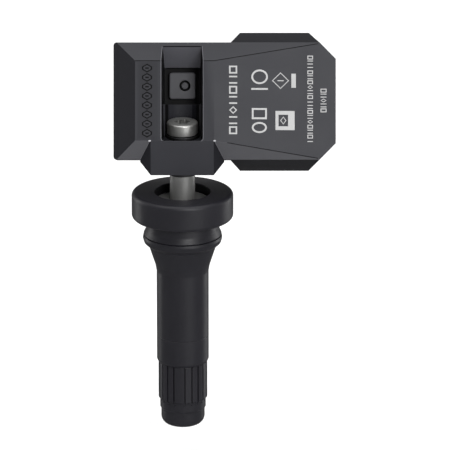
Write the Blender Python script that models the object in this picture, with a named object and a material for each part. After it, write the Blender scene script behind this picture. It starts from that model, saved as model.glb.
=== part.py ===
"""Wheel-mounted tyre pressure sensor on a rubber snap-in valve stem, as separate solid pieces.

Row frame: Z is the stem axis and points from the cap to the housing, the origin is on that axis at the
underside of the flange, where the stem seats on the rim, and -Y is the side that the housing's face turns to.
Housing frame (u, v, w): its origin is on the stem axis, u = +X, v runs up the face and w out of the face.
All lengths below are millimetres; meshes are made in metres.
"""

import math

import bmesh
import bpy
from mathutils import Matrix, Vector

MM = 0.001

# Stem, along Z
FLANGE_R = 10.16
FLANGE_TOP_Z = 5.4
FLANGE_EDGE = 0.8
RECESS_R = 5.65
RECESS_FLOOR_Z = 2.0
NECK_R = 7.15
BULB_R = 7.95
BULB_Z = -4.15
GROOVE_R = 7.5
GROOVE_Z = -3.5
TAPER_R = 6.7
TAPER_Z = -5.9
BODY_R = 5.22
BODY_END_Z = -30.4
BODY_TOP_Z = -11.0
RING_Z = -24.91
BORE_R = 4.0
STEM_SEGMENTS = 64
INSERT_SEGMENTS = 32
SCREW_SEGMENTS = 20

# Metal insert bonded in the rubber
DISC_R = 5.3
DISC_TOP_Z = 3.75
PIN_R = 2.5
PIN_TOP_Z = 15.9
TUBE_R = 3.7
THREAD_R = 3.86
THREAD_ROOT_R = 3.42
THREAD_PITCH = 0.794
THREAD_TOP_Z = -31.0
THREAD_END_Z = -37.4
MOUTH_Z = -37.9
AIR_BORE_R = 1.1
AIR_BORE_TOP_Z = 7.4
SCREW_HOLE_R = 1.85
SCREW_HOLE_END_Z = 9.4
CORE_BORE_R = 2.75
CROSS_HOLE_R = 0.8
CROSS_HOLE_Z = 6.4

# Clamp screw and bush
BUSH_R = 3.15
BUSH_BORE_R = 2.6
BUSH_END_Z = 9.3
BUSH_TOP_Z = 16.6
WASHER_R = 3.3
WASHER_BORE_R = 2.1
WASHER_Z = 17.0
WASHER_T = 0.5
HEAD_R = 3.1
HEAD_Z = 17.65
HEAD_H = 2.35
HEAD_EDGE = 0.28
STAR_R = 1.62
STAR_DEPTH = 1.6
STAR_TURN = math.radians(5.0)
SHANK_R = 1.74
SHANK_ROOT_R = 1.42
SHANK_PITCH = 0.6
SHANK_END_Z = 10.9
SHANK_TOP_Z = 16.3
SHANK_TIP_R = 0.9

# Valve core
BARREL_R = 1.75
BARREL_HEAD_R = 2.6
BARREL_BORE_R = 1.4
CORE_PIN_R = 0.42
SPRING_R = 1.0
SPRING_WIRE_R = 0.16
SPRING_FIXED_Z = -28.75
SPRING_FREE_Z = -33.35
SPRING_TURNS = 6

# Cap
CAP_TOP_Z = -30.5
CAP_RIB_R = 4.92
CAP_RIB_END_Z = -38.1
CAP_PLAIN_R = 4.6
CAP_STEP_Z = -40.3
CAP_END_R = 4.38
CAP_END_Z = -43.9
CAP_ROUND = 3.0
CAP_GROOVES_PER_HALF = 10
CAP_WIDE_RIB = math.radians(261.5)
CAP_WIDE_RIB_HALF = math.radians(13.0)
CAP_RIB = math.radians(154.0) / 9
CAP_GROOVE_W = 0.34
CAP_BORE_R = 4.0
CAP_BORE_END_Z = -39.2
CAP_CORE_R = 2.2
CAP_CORE_END_Z = -41.6
CAP_SEGMENTS = 60

# Housing, in its own frame
TILT = math.radians(19.0)
CROSS_Z = 24.28
FACE_W = 3.2
BACK_W = -12.8
LEFT_U = -13.67
RIGHT_U = 30.5
SIDE_V = 11.65
EAR_V = 13.75
EAR_TOP_W = -0.75
EAR_FACET_V = 11.6
EAR_FACET_LOW_W = -6.3
EAR_ROOT_V = 10.5
EAR_U = (8.0, 29.0)
FACE_LEFT_U = -9.3
FACE_V = 7.9
CREASE_U = 6.35
LABEL_SLOPE = math.radians(9.6)
CORNER_U = 25.2
CORNER_V = 8.4
EAR_RAMP_U = (9.6, 11.5)
EDGE_BEVEL = 0.28
LEFT_CORNER_ROUND = 0.9
PLANE_MARGIN = 1.0
BOSS_FRONT_U = 6.25
BOSS_SIDE_U = 8.35
BOSS_TOP_V = -8.05
BOSS_END_V = -14.76
BOSS_END_W = -0.2
BOSS_ROOT_V = -4.0
BOSS_LOW_V = -17.0
BOSS_BACK_W = -12.2
BOSS_UNDERCUT_VW = (-14.0, -10.2)
BOSS_UNDERCUT_SLOPE = 1.1
BOSS_FLANK_NORMAL = (0.633, -0.35, 0.69)
BOSS_CHEEK_NORMAL = (0.743, -0.634, -0.218)

# Channel down to the screw
SLOT_U = 4.1
SLOT_FLOOR_U = 3.53
SLOT_TOP_V = 10.8
SLOT_END_V = -8.0
SLOT_FLOOR_W = -3.85
SLOT_CORNER_ROUND = 0.65
SLOT_RIM_BEVEL = 0.16
STEP_V = -0.65
PIT_V = (-0.5, 6.72)
PIT_U = 3.28
PIT_FLOOR_W = -5.35
CHANNEL_R = 3.4
CHANNEL_TOP_Z = 34.0
SEAT_Z = 16.9
SPOTFACE_Z = 16.75
BOSS_BORE_R = 3.3
PAD_U = 2.6
PAD_V = (0.46, 5.78)
PAD_TOP_W = -4.05
PAD_BOTTOM_W = -5.1
PORT_UV = (0.5, 3.12)
PORT_R = 1.1
PORT_HOLE_R = 0.8
PAD_CORNER_R = 0.55
PAD_BEVEL = 0.2

# Inside of the housing
WALL = 1.8
REBATE_WALL = 0.9
REBATE_W = -10.7
COVER_W = -11.4
CEILING_W = -8.0
LABEL_WALL = 1.6
CHAMFER_WALL = 2.3
EAR_WALL = 1.5
CELL_POCKET_LEFT_U = 4.5
COIL_POCKET_U = (-11.5, -5.7)
COIL_POCKET_V = (-8.8, 8.8)
COIL_POCKET_TOP_W = -1.2
BOARD_W = (-10.3, -9.3)
CELL_UV = (18.2, 0.0)
CELL_R = 10.0
CELL_W = (-8.8, -3.8)
TAB_T = 0.25
TAB_HALF_WIDTH = 1.6
TAB_GAP = 0.08
CHIP_BASE_W = -9.24

MATERIALS = {
    "housing_plastic": ((0.075, 0.077, 0.082, 1.0), 0.0, 0.55),
    "cover_plastic": ((0.045, 0.046, 0.05, 1.0), 0.0, 0.6),
    "pad_plastic": ((0.10, 0.10, 0.105, 1.0), 0.0, 0.5),
    "stem_rubber": ((0.05, 0.05, 0.054, 1.0), 0.0, 0.6),
    "seal_rubber": ((0.03, 0.03, 0.03, 1.0), 0.0, 0.75),
    "cap_plastic": ((0.05, 0.05, 0.054, 1.0), 0.0, 0.5),
    "screw_steel": ((0.55, 0.55, 0.53, 1.0), 1.0, 0.3),
    "bush_steel": ((0.16, 0.16, 0.17, 1.0), 1.0, 0.45),
    "stem_metal": ((0.6, 0.6, 0.58, 1.0), 1.0, 0.35),
    "core_brass": ((0.62, 0.47, 0.22, 1.0), 1.0, 0.35),
    "spring_steel": ((0.45, 0.45, 0.45, 1.0), 1.0, 0.3),
    "board_laminate": ((0.03, 0.16, 0.07, 1.0), 0.0, 0.5),
    "cell_steel": ((0.6, 0.6, 0.6, 1.0), 1.0, 0.3),
    "tab_nickel": ((0.5, 0.48, 0.43, 1.0), 1.0, 0.35),
    "chip_black": ((0.02, 0.02, 0.02, 1.0), 0.0, 0.4),
    "ferrite": ((0.04, 0.04, 0.045, 1.0), 0.0, 0.6),
    "copper_wire": ((0.6, 0.25, 0.12, 1.0), 1.0, 0.35),
    "ceramic_tan": ((0.45, 0.33, 0.2, 1.0), 0.0, 0.5),
}


def clear_scene():
    for obj in list(bpy.data.objects):
        bpy.data.objects.remove(obj, do_unlink=True)


def make_materials():
    made = {}
    for name, (colour, metallic, roughness) in MATERIALS.items():
        material = bpy.data.materials.new(name)
        material.use_nodes = True
        shader = material.node_tree.nodes["Principled BSDF"]
        shader.inputs["Base Color"].default_value = colour
        shader.inputs["Metallic"].default_value = metallic
        shader.inputs["Roughness"].default_value = roughness
        made[name] = material
    return made


def add_node(name, bm, material, parent=None, smooth_deg=35.0):
    """Links one solid as its own object, with smooth shading below the given edge angle."""
    bmesh.ops.recalc_face_normals(bm, faces=bm.faces)
    for face in bm.faces:
        face.smooth = True
    for edge in bm.edges:
        edge.smooth = edge.is_manifold and edge.calc_face_angle(0.0) < math.radians(smooth_deg)
    mesh = bpy.data.meshes.new(name)
    bm.to_mesh(mesh)
    bm.free()
    mesh.materials.append(materials[material])
    obj = bpy.data.objects.new(name, mesh)
    bpy.context.scene.collection.objects.link(obj)
    obj.parent = parent
    return obj


def grid_solid(bm, rings):
    """Closes a stack of rings: each is a list of points, or one point where it meets the axis."""
    layers = []
    for ring in rings:
        layers.append([bm.verts.new(Vector(p) * MM) for p in ring])
    for lower, upper in zip(layers, layers[1:]):
        count = max(len(lower), len(upper))
        for i in range(count):
            j = (i + 1) % count
            corners = []
            for layer, index in ((lower, i), (lower, j), (upper, j), (upper, i)):
                vert = layer[index] if len(layer) > 1 else layer[0]
                if vert not in corners:
                    corners.append(vert)
            if len(corners) > 2:
                bm.faces.new(corners)
    return layers


def circle(radius, z, segments):
    if radius < 1e-6:
        return [(0.0, 0.0, z)]
    turn = 2.0 * math.pi / segments
    return [(radius * math.cos(turn * i), radius * math.sin(turn * i), z) for i in range(segments)]


def lathe(profile, segments, closed=False):
    """Turns (radius, z) points about Z. A closed profile makes a ring; an open one ends on the axis."""
    bm = bmesh.new()
    rings = [circle(r, z, segments) for r, z in profile]
    layers = grid_solid(bm, rings)
    if closed:
        first, last = layers[0], layers[-1]
        for i in range(segments):
            j = (i + 1) % segments
            bm.faces.new((last[i], last[j], first[j], first[i]))
    return bm


def thread_rings(root_r, crest_r, pitch, z_from, z_to, segments, rows_per_pitch=4):
    """Rings whose radius follows a helical ridge, with a plain run-out at both ends."""
    rows = int(round(abs(z_to - z_from) / pitch * rows_per_pitch))
    rings = []
    for row in range(rows + 1):
        z = z_from + (z_to - z_from) * row / rows
        ring = []
        fade = min(1.0, row / rows_per_pitch, (rows - row) / rows_per_pitch)
        for i in range(segments):
            angle = 2.0 * math.pi * i / segments
            phase = (z / pitch - i / segments) % 1.0
            ridge = 1.0 - abs(2.0 * phase - 1.0)
            radius = root_r + (crest_r - root_r) * ridge * fade
            ring.append((radius * math.cos(angle), radius * math.sin(angle), z))
        rings.append(ring)
    return rings


def prism(points, w_from, w_to):
    """A plan polygon of (x, y) raised from one height to another."""
    bm = bmesh.new()
    low = [bm.verts.new(Vector((x, y, w_from)) * MM) for x, y in points]
    high = [bm.verts.new(Vector((x, y, w_to)) * MM) for x, y in points]
    bm.faces.new(low)
    bm.faces.new(high)
    count = len(points)
    for i in range(count):
        j = (i + 1) % count
        bm.faces.new((low[i], low[j], high[j], high[i]))
    bmesh.ops.recalc_face_normals(bm, faces=bm.faces)
    return bm


def box(x, y, z):
    return prism([(x[0], y[0]), (x[1], y[0]), (x[1], y[1]), (x[0], y[1])], z[0], z[1])


def rounded_rect(x, y, radius, steps=4):
    corners = ((x[1], y[1], 0), (x[0], y[1], 1), (x[0], y[0], 2), (x[1], y[0], 3))
    points = []
    for cx, cy, quarter in corners:
        sx = -radius if quarter in (0, 3) else radius
        sy = -radius if quarter in (0, 1) else radius
        for step in range(steps + 1):
            angle = math.pi / 2 * (quarter + step / steps)
            points.append((cx + sx + radius * math.cos(angle), cy + sy + radius * math.sin(angle)))
    return points


def cut_plane(bm, point, normal):
    """Removes what lies beyond a plane (on the side its normal points to) and closes the section."""
    geometry = bm.verts[:] + bm.edges[:] + bm.faces[:]
    cut = bmesh.ops.bisect_plane(
        bm, geom=geometry, dist=1e-7, plane_co=Vector(point) * MM, plane_no=Vector(normal), clear_outer=True
    )
    edges = [e for e in cut["geom_cut"] if isinstance(e, bmesh.types.BMEdge) and e.is_boundary]
    if edges:
        bmesh.ops.holes_fill(bm, edges=edges, sides=0)


def temporary(bm):
    mesh = bpy.data.meshes.new("shape")
    bmesh.ops.recalc_face_normals(bm, faces=bm.faces)
    bm.to_mesh(mesh)
    bm.free()
    obj = bpy.data.objects.new("shape", mesh)
    bpy.context.scene.collection.objects.link(obj)
    return obj


def combined(base, others, operation, merge_flat=True):
    """Joins or cuts one mesh with others, one after another, and returns the result as a new bmesh."""
    target = temporary(base)
    for other in others:
        tool = temporary(other)
        modifier = target.modifiers.new("combine", "BOOLEAN")
        modifier.operation = operation
        modifier.solver = "EXACT"
        modifier.object = tool
        graph = bpy.context.evaluated_depsgraph_get()
        mesh = bpy.data.meshes.new_from_object(target.evaluated_get(graph))
        target.modifiers.clear()
        target.data = mesh
        bpy.data.objects.remove(tool, do_unlink=True)
    bm = bmesh.new()
    bm.from_mesh(target.data)
    bpy.data.objects.remove(target, do_unlink=True)
    bmesh.ops.remove_doubles(bm, verts=bm.verts, dist=2e-6)
    bmesh.ops.dissolve_degenerate(bm, dist=1e-6, edges=bm.edges)
    if merge_flat:
        bmesh.ops.dissolve_limit(bm, angle_limit=math.radians(0.3), verts=bm.verts, edges=bm.edges)
    return bm


def bevel_edges(bm, edges, width, segments=2):
    bmesh.ops.bevel(
        bm, geom=edges, offset=width * MM, offset_type="OFFSET", segments=segments, profile=0.5,
        affect="EDGES", clamp_overlap=True,
    )


def along_stem(bm):
    """Moves a mesh made about the row's Z axis into the housing frame."""
    bmesh.ops.transform(bm, matrix=housing_matrix().inverted(), verts=bm.verts)
    return bm


def moved(bm, u, v):
    """Shifts a mesh made about the origin to a place on the housing's plan."""
    bmesh.ops.translate(bm, vec=Vector((u, v, 0.0)) * MM, verts=bm.verts)
    return bm


def housing_matrix():
    return Matrix.Translation((0.0, 0.0, CROSS_Z * MM)) @ Matrix.Rotation(math.pi / 2 - TILT, 4, "X")


def outline(inset, left=LEFT_U):
    """The housing's plan inset by a wall, from its right end to the given left end (anticlockwise)."""
    slant = inset * math.tan(math.pi / 8)
    upper = [
        (RIGHT_U - inset, CORNER_V - slant),
        (CORNER_U - slant, EAR_V - inset),
        (EAR_RAMP_U[1] + inset * 0.35, EAR_V - inset),
        (EAR_RAMP_U[0] + inset * 0.35, SIDE_V - inset),
        (left + inset, SIDE_V - inset),
    ]
    return upper + [(u, -v) for u, v in reversed(upper)]


def ear_facet(v):
    """A point and a normal of the slope down the outside of an ear whose edge is at v."""
    side = math.copysign(1.0, v)
    return (0, v, EAR_FACET_LOW_W), (0, side * (EAR_TOP_W - EAR_FACET_LOW_W), EAR_V - EAR_FACET_V)


def housing_outside():
    """The faceted outside: chamfered block, ears and boss joined, then cut by the large planes."""
    base_w = BACK_W - PLANE_MARGIN
    block = box((LEFT_U, RIGHT_U), (-SIDE_V, SIDE_V), (base_w, FACE_W + PLANE_MARGIN))
    for side in (1, -1):
        cut_plane(block, (0, side * FACE_V, FACE_W), (0, side, 1))
    cut_plane(block, (FACE_LEFT_U, 0, FACE_W), (-1, 0, 1))
    upright = [
        e for e in block.edges
        if all(abs(v.co.x - LEFT_U * MM) < 1e-6 for v in e.verts)
        and abs(e.verts[0].co.y - e.verts[1].co.y) < 1e-6
    ]
    bevel_edges(block, upright, LEFT_CORNER_ROUND, 3)
    parts = [boss_block()]
    for side in (1, -1):
        ear = box(EAR_U, sorted((side * EAR_ROOT_V, side * EAR_V)), (base_w, EAR_TOP_W))
        cut_plane(ear, *ear_facet(side * EAR_V))
        ramp = Vector((SIDE_V - EAR_V, side * (EAR_RAMP_U[1] - EAR_RAMP_U[0]), 0))
        cut_plane(ear, (EAR_RAMP_U[0], side * SIDE_V, 0), ramp)
        parts.append(ear)
    body = combined(block, parts, "UNION")
    cut_plane(body, (0, 0, FACE_W), (0, 0, 1))
    cut_plane(body, (CREASE_U, 0, FACE_W), (math.sin(LABEL_SLOPE), 0, math.cos(LABEL_SLOPE)))
    cut_plane(body, (0, 0, BACK_W), (0, 0, -1))
    for side in (1, -1):
        corner = Vector((EAR_V - CORNER_V, side * (RIGHT_U - CORNER_U), 0))
        cut_plane(body, (RIGHT_U, side * CORNER_V, 0), corner)
    bmesh.ops.dissolve_limit(body, angle_limit=math.radians(0.3), verts=body.verts, edges=body.edges)
    sharp = [e for e in body.edges if e.is_manifold and e.calc_face_angle_signed(0.0) > math.radians(20)]
    bevel_edges(body, sharp, EDGE_BEVEL)
    return body


def boss_block():
    """The eight-sided boss round the stem: tilted front, flanks, cheeks and an underside square to Z."""
    boss = box((-BOSS_SIDE_U, BOSS_SIDE_U), (BOSS_LOW_V, BOSS_ROOT_V), (BOSS_BACK_W, FACE_W + PLANE_MARGIN))
    front = Vector((0, BOSS_END_W - FACE_W, BOSS_TOP_V - BOSS_END_V))
    cut_plane(boss, (0, BOSS_TOP_V, FACE_W), front)
    cut_plane(boss, (0, BOSS_END_V, BOSS_END_W), (0, -math.cos(TILT), -math.sin(TILT)))
    cut_plane(boss, (0, *BOSS_UNDERCUT_VW), (0, -1, -BOSS_UNDERCUT_SLOPE))
    for side in (1, -1):
        corner = Vector((side * BOSS_FRONT_U, BOSS_END_V, BOSS_END_W))
        for normal in (BOSS_FLANK_NORMAL, BOSS_CHEEK_NORMAL):
            cut_plane(boss, corner, (side * normal[0], normal[1], normal[2]))
    return boss


def slot_cutter():
    """The drafted channel: straight walls, a 45 degree run-out at the top and a seat square to the stem."""
    top_w = FACE_W + 2.0 * PLANE_MARGIN
    seat = SEAT_Z - CROSS_Z
    end_w = (seat - SLOT_END_V * math.cos(TILT)) / math.sin(TILT)
    ramp_top_w = FACE_W - (SLOT_TOP_V - FACE_V)
    profile = [
        (SLOT_END_V, top_w),
        (SLOT_END_V, end_w),
        (seat * math.cos(TILT), seat * math.sin(TILT)),
        (STEP_V, STEP_V * math.tan(TILT)),
        (STEP_V, SLOT_FLOOR_W),
        (SLOT_TOP_V - (ramp_top_w - SLOT_FLOOR_W), SLOT_FLOOR_W),
        (SLOT_TOP_V + (top_w - ramp_top_w), top_w),
    ]
    bm = bmesh.new()
    half = SLOT_U + 2.0 * PLANE_MARGIN
    left = [bm.verts.new(Vector((-half, v, w)) * MM) for v, w in profile]
    right = [bm.verts.new(Vector((half, v, w)) * MM) for v, w in profile]
    bm.faces.new(left)
    bm.faces.new(right)
    for i in range(len(profile)):
        j = (i + 1) % len(profile)
        bm.faces.new((left[i], left[j], right[j], right[i]))
    bmesh.ops.recalc_face_normals(bm, faces=bm.faces)
    for side in (1, -1):
        draft = Vector((side * (FACE_W - SLOT_FLOOR_W), 0, -(SLOT_U - SLOT_FLOOR_U)))
        cut_plane(bm, (side * SLOT_U, 0, FACE_W), draft)
    corners = [
        e for e in bm.edges
        if all(abs(v.co.y - SLOT_END_V * MM) < 1e-6 for v in e.verts)
        and abs(e.verts[0].co.z - e.verts[1].co.z) > 1e-3
    ]
    bevel_edges(bm, corners, SLOT_CORNER_ROUND, 4)
    return bm


def cylinder_about_stem(radius, z_from, z_to, segments=40):
    return along_stem(lathe([(0, z_from), (radius, z_from), (radius, z_to), (0, z_to)], segments))


def cylinder_about_face(radius, uv, w_from, w_to, segments=32):
    return moved(lathe([(0, w_from), (radius, w_from), (radius, w_to), (0, w_to)], segments), *uv)


def housing_inside():
    """Cutters for the cover's rebate and for the pockets round the channel."""
    rebate = prism(outline(REBATE_WALL), BACK_W - PLANE_MARGIN, REBATE_W)
    floor = prism(outline(WALL), REBATE_W - 0.5, CEILING_W)
    cell = prism(outline(WALL + 0.15, CELL_POCKET_LEFT_U), CEILING_W - 0.5, FACE_W)
    slope = Vector((math.sin(LABEL_SLOPE), 0, math.cos(LABEL_SLOPE)))
    cut_plane(cell, (CREASE_U, 0, FACE_W - LABEL_WALL), slope)
    for side in (1, -1):
        cut_plane(cell, (0, side * FACE_V, FACE_W - CHAMFER_WALL), (0, side, 1))
        point, normal = ear_facet(side * EAR_V)
        cut_plane(cell, (0, point[1] - side * EAR_WALL, point[2]), normal)
    coil = box(COIL_POCKET_U, COIL_POCKET_V, (CEILING_W - 0.5, COIL_POCKET_TOP_W))
    return [rebate, floor, cell, coil]


def on_slot_rim(edge):
    """True for a sharp outer edge of the channel's mouth, on the face or on the chamfer above it."""
    if not edge.is_manifold or edge.calc_face_angle_signed(0.0) < math.radians(25):
        return False
    for vert in edge.verts:
        u, v, w = vert.co / MM
        skin = min(FACE_W, FACE_W + FACE_V - v)
        if abs(u) > SLOT_U + 0.2 or not SLOT_END_V - 0.3 < v < SLOT_TOP_V + 0.4 or w < skin - 0.3:
            return False
    return True


def build_housing(parent):
    channel = [slot_cutter(), cylinder_about_stem(CHANNEL_R, SPOTFACE_Z, CHANNEL_TOP_Z)]
    body = combined(housing_outside(), channel, "DIFFERENCE")
    bevel_edges(body, [e for e in body.edges if on_slot_rim(e)], SLOT_RIM_BEVEL)
    pit = box((-PIT_U, PIT_U), PIT_V, (PIT_FLOOR_W, SLOT_FLOOR_W + 0.4))
    port = cylinder_about_face(PORT_HOLE_R, PORT_UV, CEILING_W - 1.0, PIT_FLOOR_W + 0.4, 20)
    bore = cylinder_about_stem(BOSS_BORE_R, 6.0, SEAT_Z + 0.5)
    body = combined(body, [pit, bore] + housing_inside() + [port], "DIFFERENCE")
    add_node("housing_shell", body, "housing_plastic", parent)


def ring_prism(outer, inner, w_from, w_to):
    """A flat frame between two plan polygons with the same number of points."""
    bm = bmesh.new()
    loops = []
    for points, w in ((outer, w_from), (outer, w_to), (inner, w_to), (inner, w_from)):
        loops.append([bm.verts.new(Vector((x, y, w)) * MM) for x, y in points])
    count = len(outer)
    for first, second in zip(loops, loops[1:] + loops[:1]):
        for i in range(count):
            j = (i + 1) % count
            bm.faces.new((first[i], first[j], second[j], second[i]))
    return bm


def build_cover(parent):
    cover = prism(outline(REBATE_WALL + 0.25), BACK_W, COVER_W)
    rim = [e for e in cover.edges if all(v.co.z < (BACK_W + 0.1) * MM for v in e.verts)]
    bevel_edges(cover, rim, 0.25)
    add_node("back_cover", cover, "cover_plastic", parent)
    seal = ring_prism(outline(REBATE_WALL + 0.3), outline(WALL + 0.1), COVER_W + 0.15, REBATE_W - 0.15)
    add_node("cover_seal", seal, "seal_rubber", parent)


def build_cell(parent):
    """The coin cell with its stepped can, and the two welded tabs that reach the board."""
    low, high = CELL_W
    can = [
        (0, low), (8.6, low), (8.9, low + 0.35), (9.3, low + 0.45), (CELL_R, low + 0.9),
        (CELL_R, high - 0.4), (CELL_R - 0.4, high), (0, high),
    ]
    add_node("battery_cell", moved(lathe(can, 48), *CELL_UV), "cell_steel", parent)
    strip_u = (CELL_UV[0] - TAB_HALF_WIDTH, CELL_UV[0] + TAB_HALF_WIDTH)
    plus = box(strip_u, (-10.55, 7.0), (high + TAB_GAP, high + TAB_GAP + TAB_T))
    leg = box(strip_u, (-10.55, -10.3), (BOARD_W[1] + 0.1, high + 0.2))
    add_node("battery_tab_positive", combined(plus, [leg], "UNION"), "tab_nickel", parent)
    tab_w = (BOARD_W[1] + TAB_GAP, BOARD_W[1] + 0.3)
    minus = box(strip_u, (-8.0, 6.0), tab_w)
    foot = box((strip_u[0] - 2.4, strip_u[0] + 0.5), (-1.5, 1.5), tab_w)
    add_node("battery_tab_negative", combined(minus, [foot], "UNION"), "tab_nickel", parent)


def build_board(parent):
    """The board and what is soldered to its front: chips, crystal, capacitors, coil and antenna."""
    add_node("circuit_board", prism(outline(WALL + 0.4), *BOARD_W), "board_laminate", parent)
    u, v = PORT_UV
    chip = box((u - 2.0, u + 2.0), (v - 2.0, v + 2.0), (CHIP_BASE_W, CHIP_BASE_W + 0.75))
    inlet = cylinder_about_face(0.45, PORT_UV, CHIP_BASE_W + 0.4, CHIP_BASE_W + 2.0, 16)
    add_node("pressure_sensor_chip", combined(chip, [inlet], "DIFFERENCE"), "chip_black", parent)
    gasket = lathe([(0.85, -8.42), (1.6, -8.42), (1.6, -8.07), (0.85, -8.07)], 28, closed=True)
    add_node("port_seal_ring", moved(gasket, u, v), "seal_rubber", parent)
    for name, chip_u, chip_v, height, material in (
        ("radio_chip", (-3.2, 1.8), (-7.0, -2.0), 0.85, "chip_black"),
        ("quartz_crystal", (3.2, 5.7), (-6.2, -3.0), 0.8, "tab_nickel"),
        ("capacitor_1", (3.4, 4.2), (-0.8, 0.8), 0.8, "ceramic_tan"),
        ("capacitor_2", (3.4, 4.2), (4.4, 6.0), 0.8, "ceramic_tan"),
    ):
        add_node(name, box(chip_u, chip_v, (CHIP_BASE_W, CHIP_BASE_W + height)), material, parent)
    flanges = [box((-10.4, -6.8), ends, (CHIP_BASE_W, -4.6)) for ends in ((-5.0, -3.6), (3.6, 5.0))]
    core = combined(box((-9.6, -7.6), (-4.5, 4.5), (-8.0, -6.0)), flanges, "UNION")
    add_node("wake_coil_core", core, "ferrite", parent)
    wire_out = rounded_rect((-10.45, -6.75), (-8.9, -5.1), 0.7)
    wire_in = rounded_rect((-9.8, -7.4), (-8.2, -5.8), 0.1)
    winding = ring_prism(wire_out, wire_in, -3.35, 3.35)
    stand_up = Matrix(((1, 0, 0, 0), (0, 0, 1, 0), (0, 1, 0, 0), (0, 0, 0, 1)))
    bmesh.ops.transform(winding, matrix=stand_up, verts=winding.verts)
    add_node("wake_coil_winding", winding, "copper_wire", parent)
    arch = box((12.8, 23.4), (10.85, 11.15), (-6.6, -5.4))
    feet = [box((x, x + 1.2), (10.85, 11.15), (CHIP_BASE_W, -5.8)) for x in (12.8, 22.2)]
    add_node("antenna_strip", combined(arch, feet, "UNION"), "tab_nickel", parent)


def build_port_and_bush(parent):
    """The pad in the pit, the filter disc in its hole, and the sleeve in the boss."""
    pad = prism(rounded_rect((-PAD_U, PAD_U), PAD_V, PAD_CORNER_R), PAD_BOTTOM_W, PAD_TOP_W)
    top_edges = [e for e in pad.edges if all(p.co.z > (PAD_TOP_W - 0.1) * MM for p in e.verts)]
    bevel_edges(pad, top_edges, PAD_BEVEL)
    pad = combined(pad, [cylinder_about_face(PORT_R, PORT_UV, -7.0, 0.0)], "DIFFERENCE")
    add_node("port_pad", pad, "pad_plastic", parent)
    plug = lathe([(0, -5.2), (0.68, -5.2), (0.68, -4.15), (0.6, -4.07), (0, -4.07)], 28)
    add_node("port_filter", moved(plug, *PORT_UV), "pad_plastic", parent)
    bush_profile = [
        (BUSH_BORE_R, BUSH_END_Z), (BUSH_R, BUSH_END_Z), (BUSH_R, BUSH_TOP_Z), (BUSH_BORE_R, BUSH_TOP_Z),
    ]
    add_node("boss_bush", along_stem(lathe(bush_profile, 40, closed=True)), "bush_steel", parent)


def star_points(radius, segments_per_lobe=8):
    """Six rounded lobes, as in a star drive."""
    points = []
    count = 6 * segments_per_lobe
    for i in range(count):
        angle = 2.0 * math.pi * i / count
        r = radius * (0.86 + 0.14 * math.cos(6 * angle))
        points.append((r * math.cos(angle + STAR_TURN), r * math.sin(angle + STAR_TURN)))
    return points


def build_screw(travel_parent, turn_parent):
    """The captive-washer clamp screw, made about the stem axis."""
    top = HEAD_Z + HEAD_H
    tip_z = SHANK_END_Z - 0.5
    rings = [circle(0, tip_z, SCREW_SEGMENTS), circle(SHANK_TIP_R, tip_z, SCREW_SEGMENTS)]
    rings += thread_rings(SHANK_ROOT_R, SHANK_R, SHANK_PITCH, SHANK_END_Z, SHANK_TOP_Z, SCREW_SEGMENTS)
    rings += [circle(SHANK_ROOT_R, HEAD_Z + 0.25, SCREW_SEGMENTS)]
    shank = bmesh.new()
    layers = grid_solid(shank, rings)
    shank.faces.new(layers[-1])
    head_profile = [
        (0, HEAD_Z), (HEAD_R, HEAD_Z), (HEAD_R, top - HEAD_EDGE),
        (HEAD_R - 0.09, top - 0.09), (HEAD_R - HEAD_EDGE, top), (0, top),
    ]
    head = lathe(head_profile, 48)
    recess = prism(star_points(STAR_R), top - STAR_DEPTH, top + 1.0)
    head = combined(head, [recess], "DIFFERENCE", merge_flat=False)
    screw = combined(head, [shank], "UNION", merge_flat=False)
    add_node("stem_screw", screw, "screw_steel", turn_parent)
    washer = [
        (WASHER_BORE_R, WASHER_Z), (WASHER_R, WASHER_Z), (WASHER_R, WASHER_Z + WASHER_T),
        (WASHER_BORE_R, WASHER_Z + WASHER_T),
    ]
    add_node("screw_washer", lathe(washer, 40, closed=True), "bush_steel", travel_parent)


def stem_profile():
    """Outside of the rubber from the top of the flange down, then back up its bore."""
    corner = [math.radians(angle) for angle in (0, 22.5, 45, 67.5, 90)]
    flange_top = [
        (FLANGE_R - FLANGE_EDGE * (1 - math.sin(a)), FLANGE_TOP_Z - FLANGE_EDGE * (1 - math.cos(a)))
        for a in corner
    ]
    return [(RECESS_R, FLANGE_TOP_Z)] + flange_top + [
        (FLANGE_R, 0.7), (FLANGE_R - 0.12, 0.25), (FLANGE_R - 0.5, 0.0), (NECK_R + 0.25, 0.0),
        (NECK_R, -0.25), (NECK_R + 0.08, -1.8), (NECK_R + 0.25, -2.5), (BULB_R - 0.14, GROOVE_Z + 0.16),
        (GROOVE_R, GROOVE_Z + 0.03), (GROOVE_R, GROOVE_Z - 0.03), (BULB_R - 0.12, GROOVE_Z - 0.14),
        (BULB_R, BULB_Z), (BULB_R - 0.06, BULB_Z - 0.4), (BULB_R - 0.25, BULB_Z - 0.85),
        (TAPER_R + 0.1, TAPER_Z + 0.1), (TAPER_R, TAPER_Z), (6.1, -7.8), (5.66, -9.1), (5.36, -10.2),
        (BODY_R, BODY_TOP_Z), (BODY_R, RING_Z + 0.12), (BODY_R - 0.08, RING_Z), (BODY_R, RING_Z - 0.12),
        (BODY_R, BODY_END_Z + 0.3), (BODY_R - 0.25, BODY_END_Z), (BORE_R, BODY_END_Z),
        (BORE_R, 1.0), (BORE_R + 0.3, RECESS_FLOOR_Z - 0.2), (RECESS_R - 0.1, RECESS_FLOOR_Z),
        (RECESS_R, RECESS_FLOOR_Z + 0.3), (RECESS_R, FLANGE_TOP_Z - 0.1),
    ]


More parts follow.
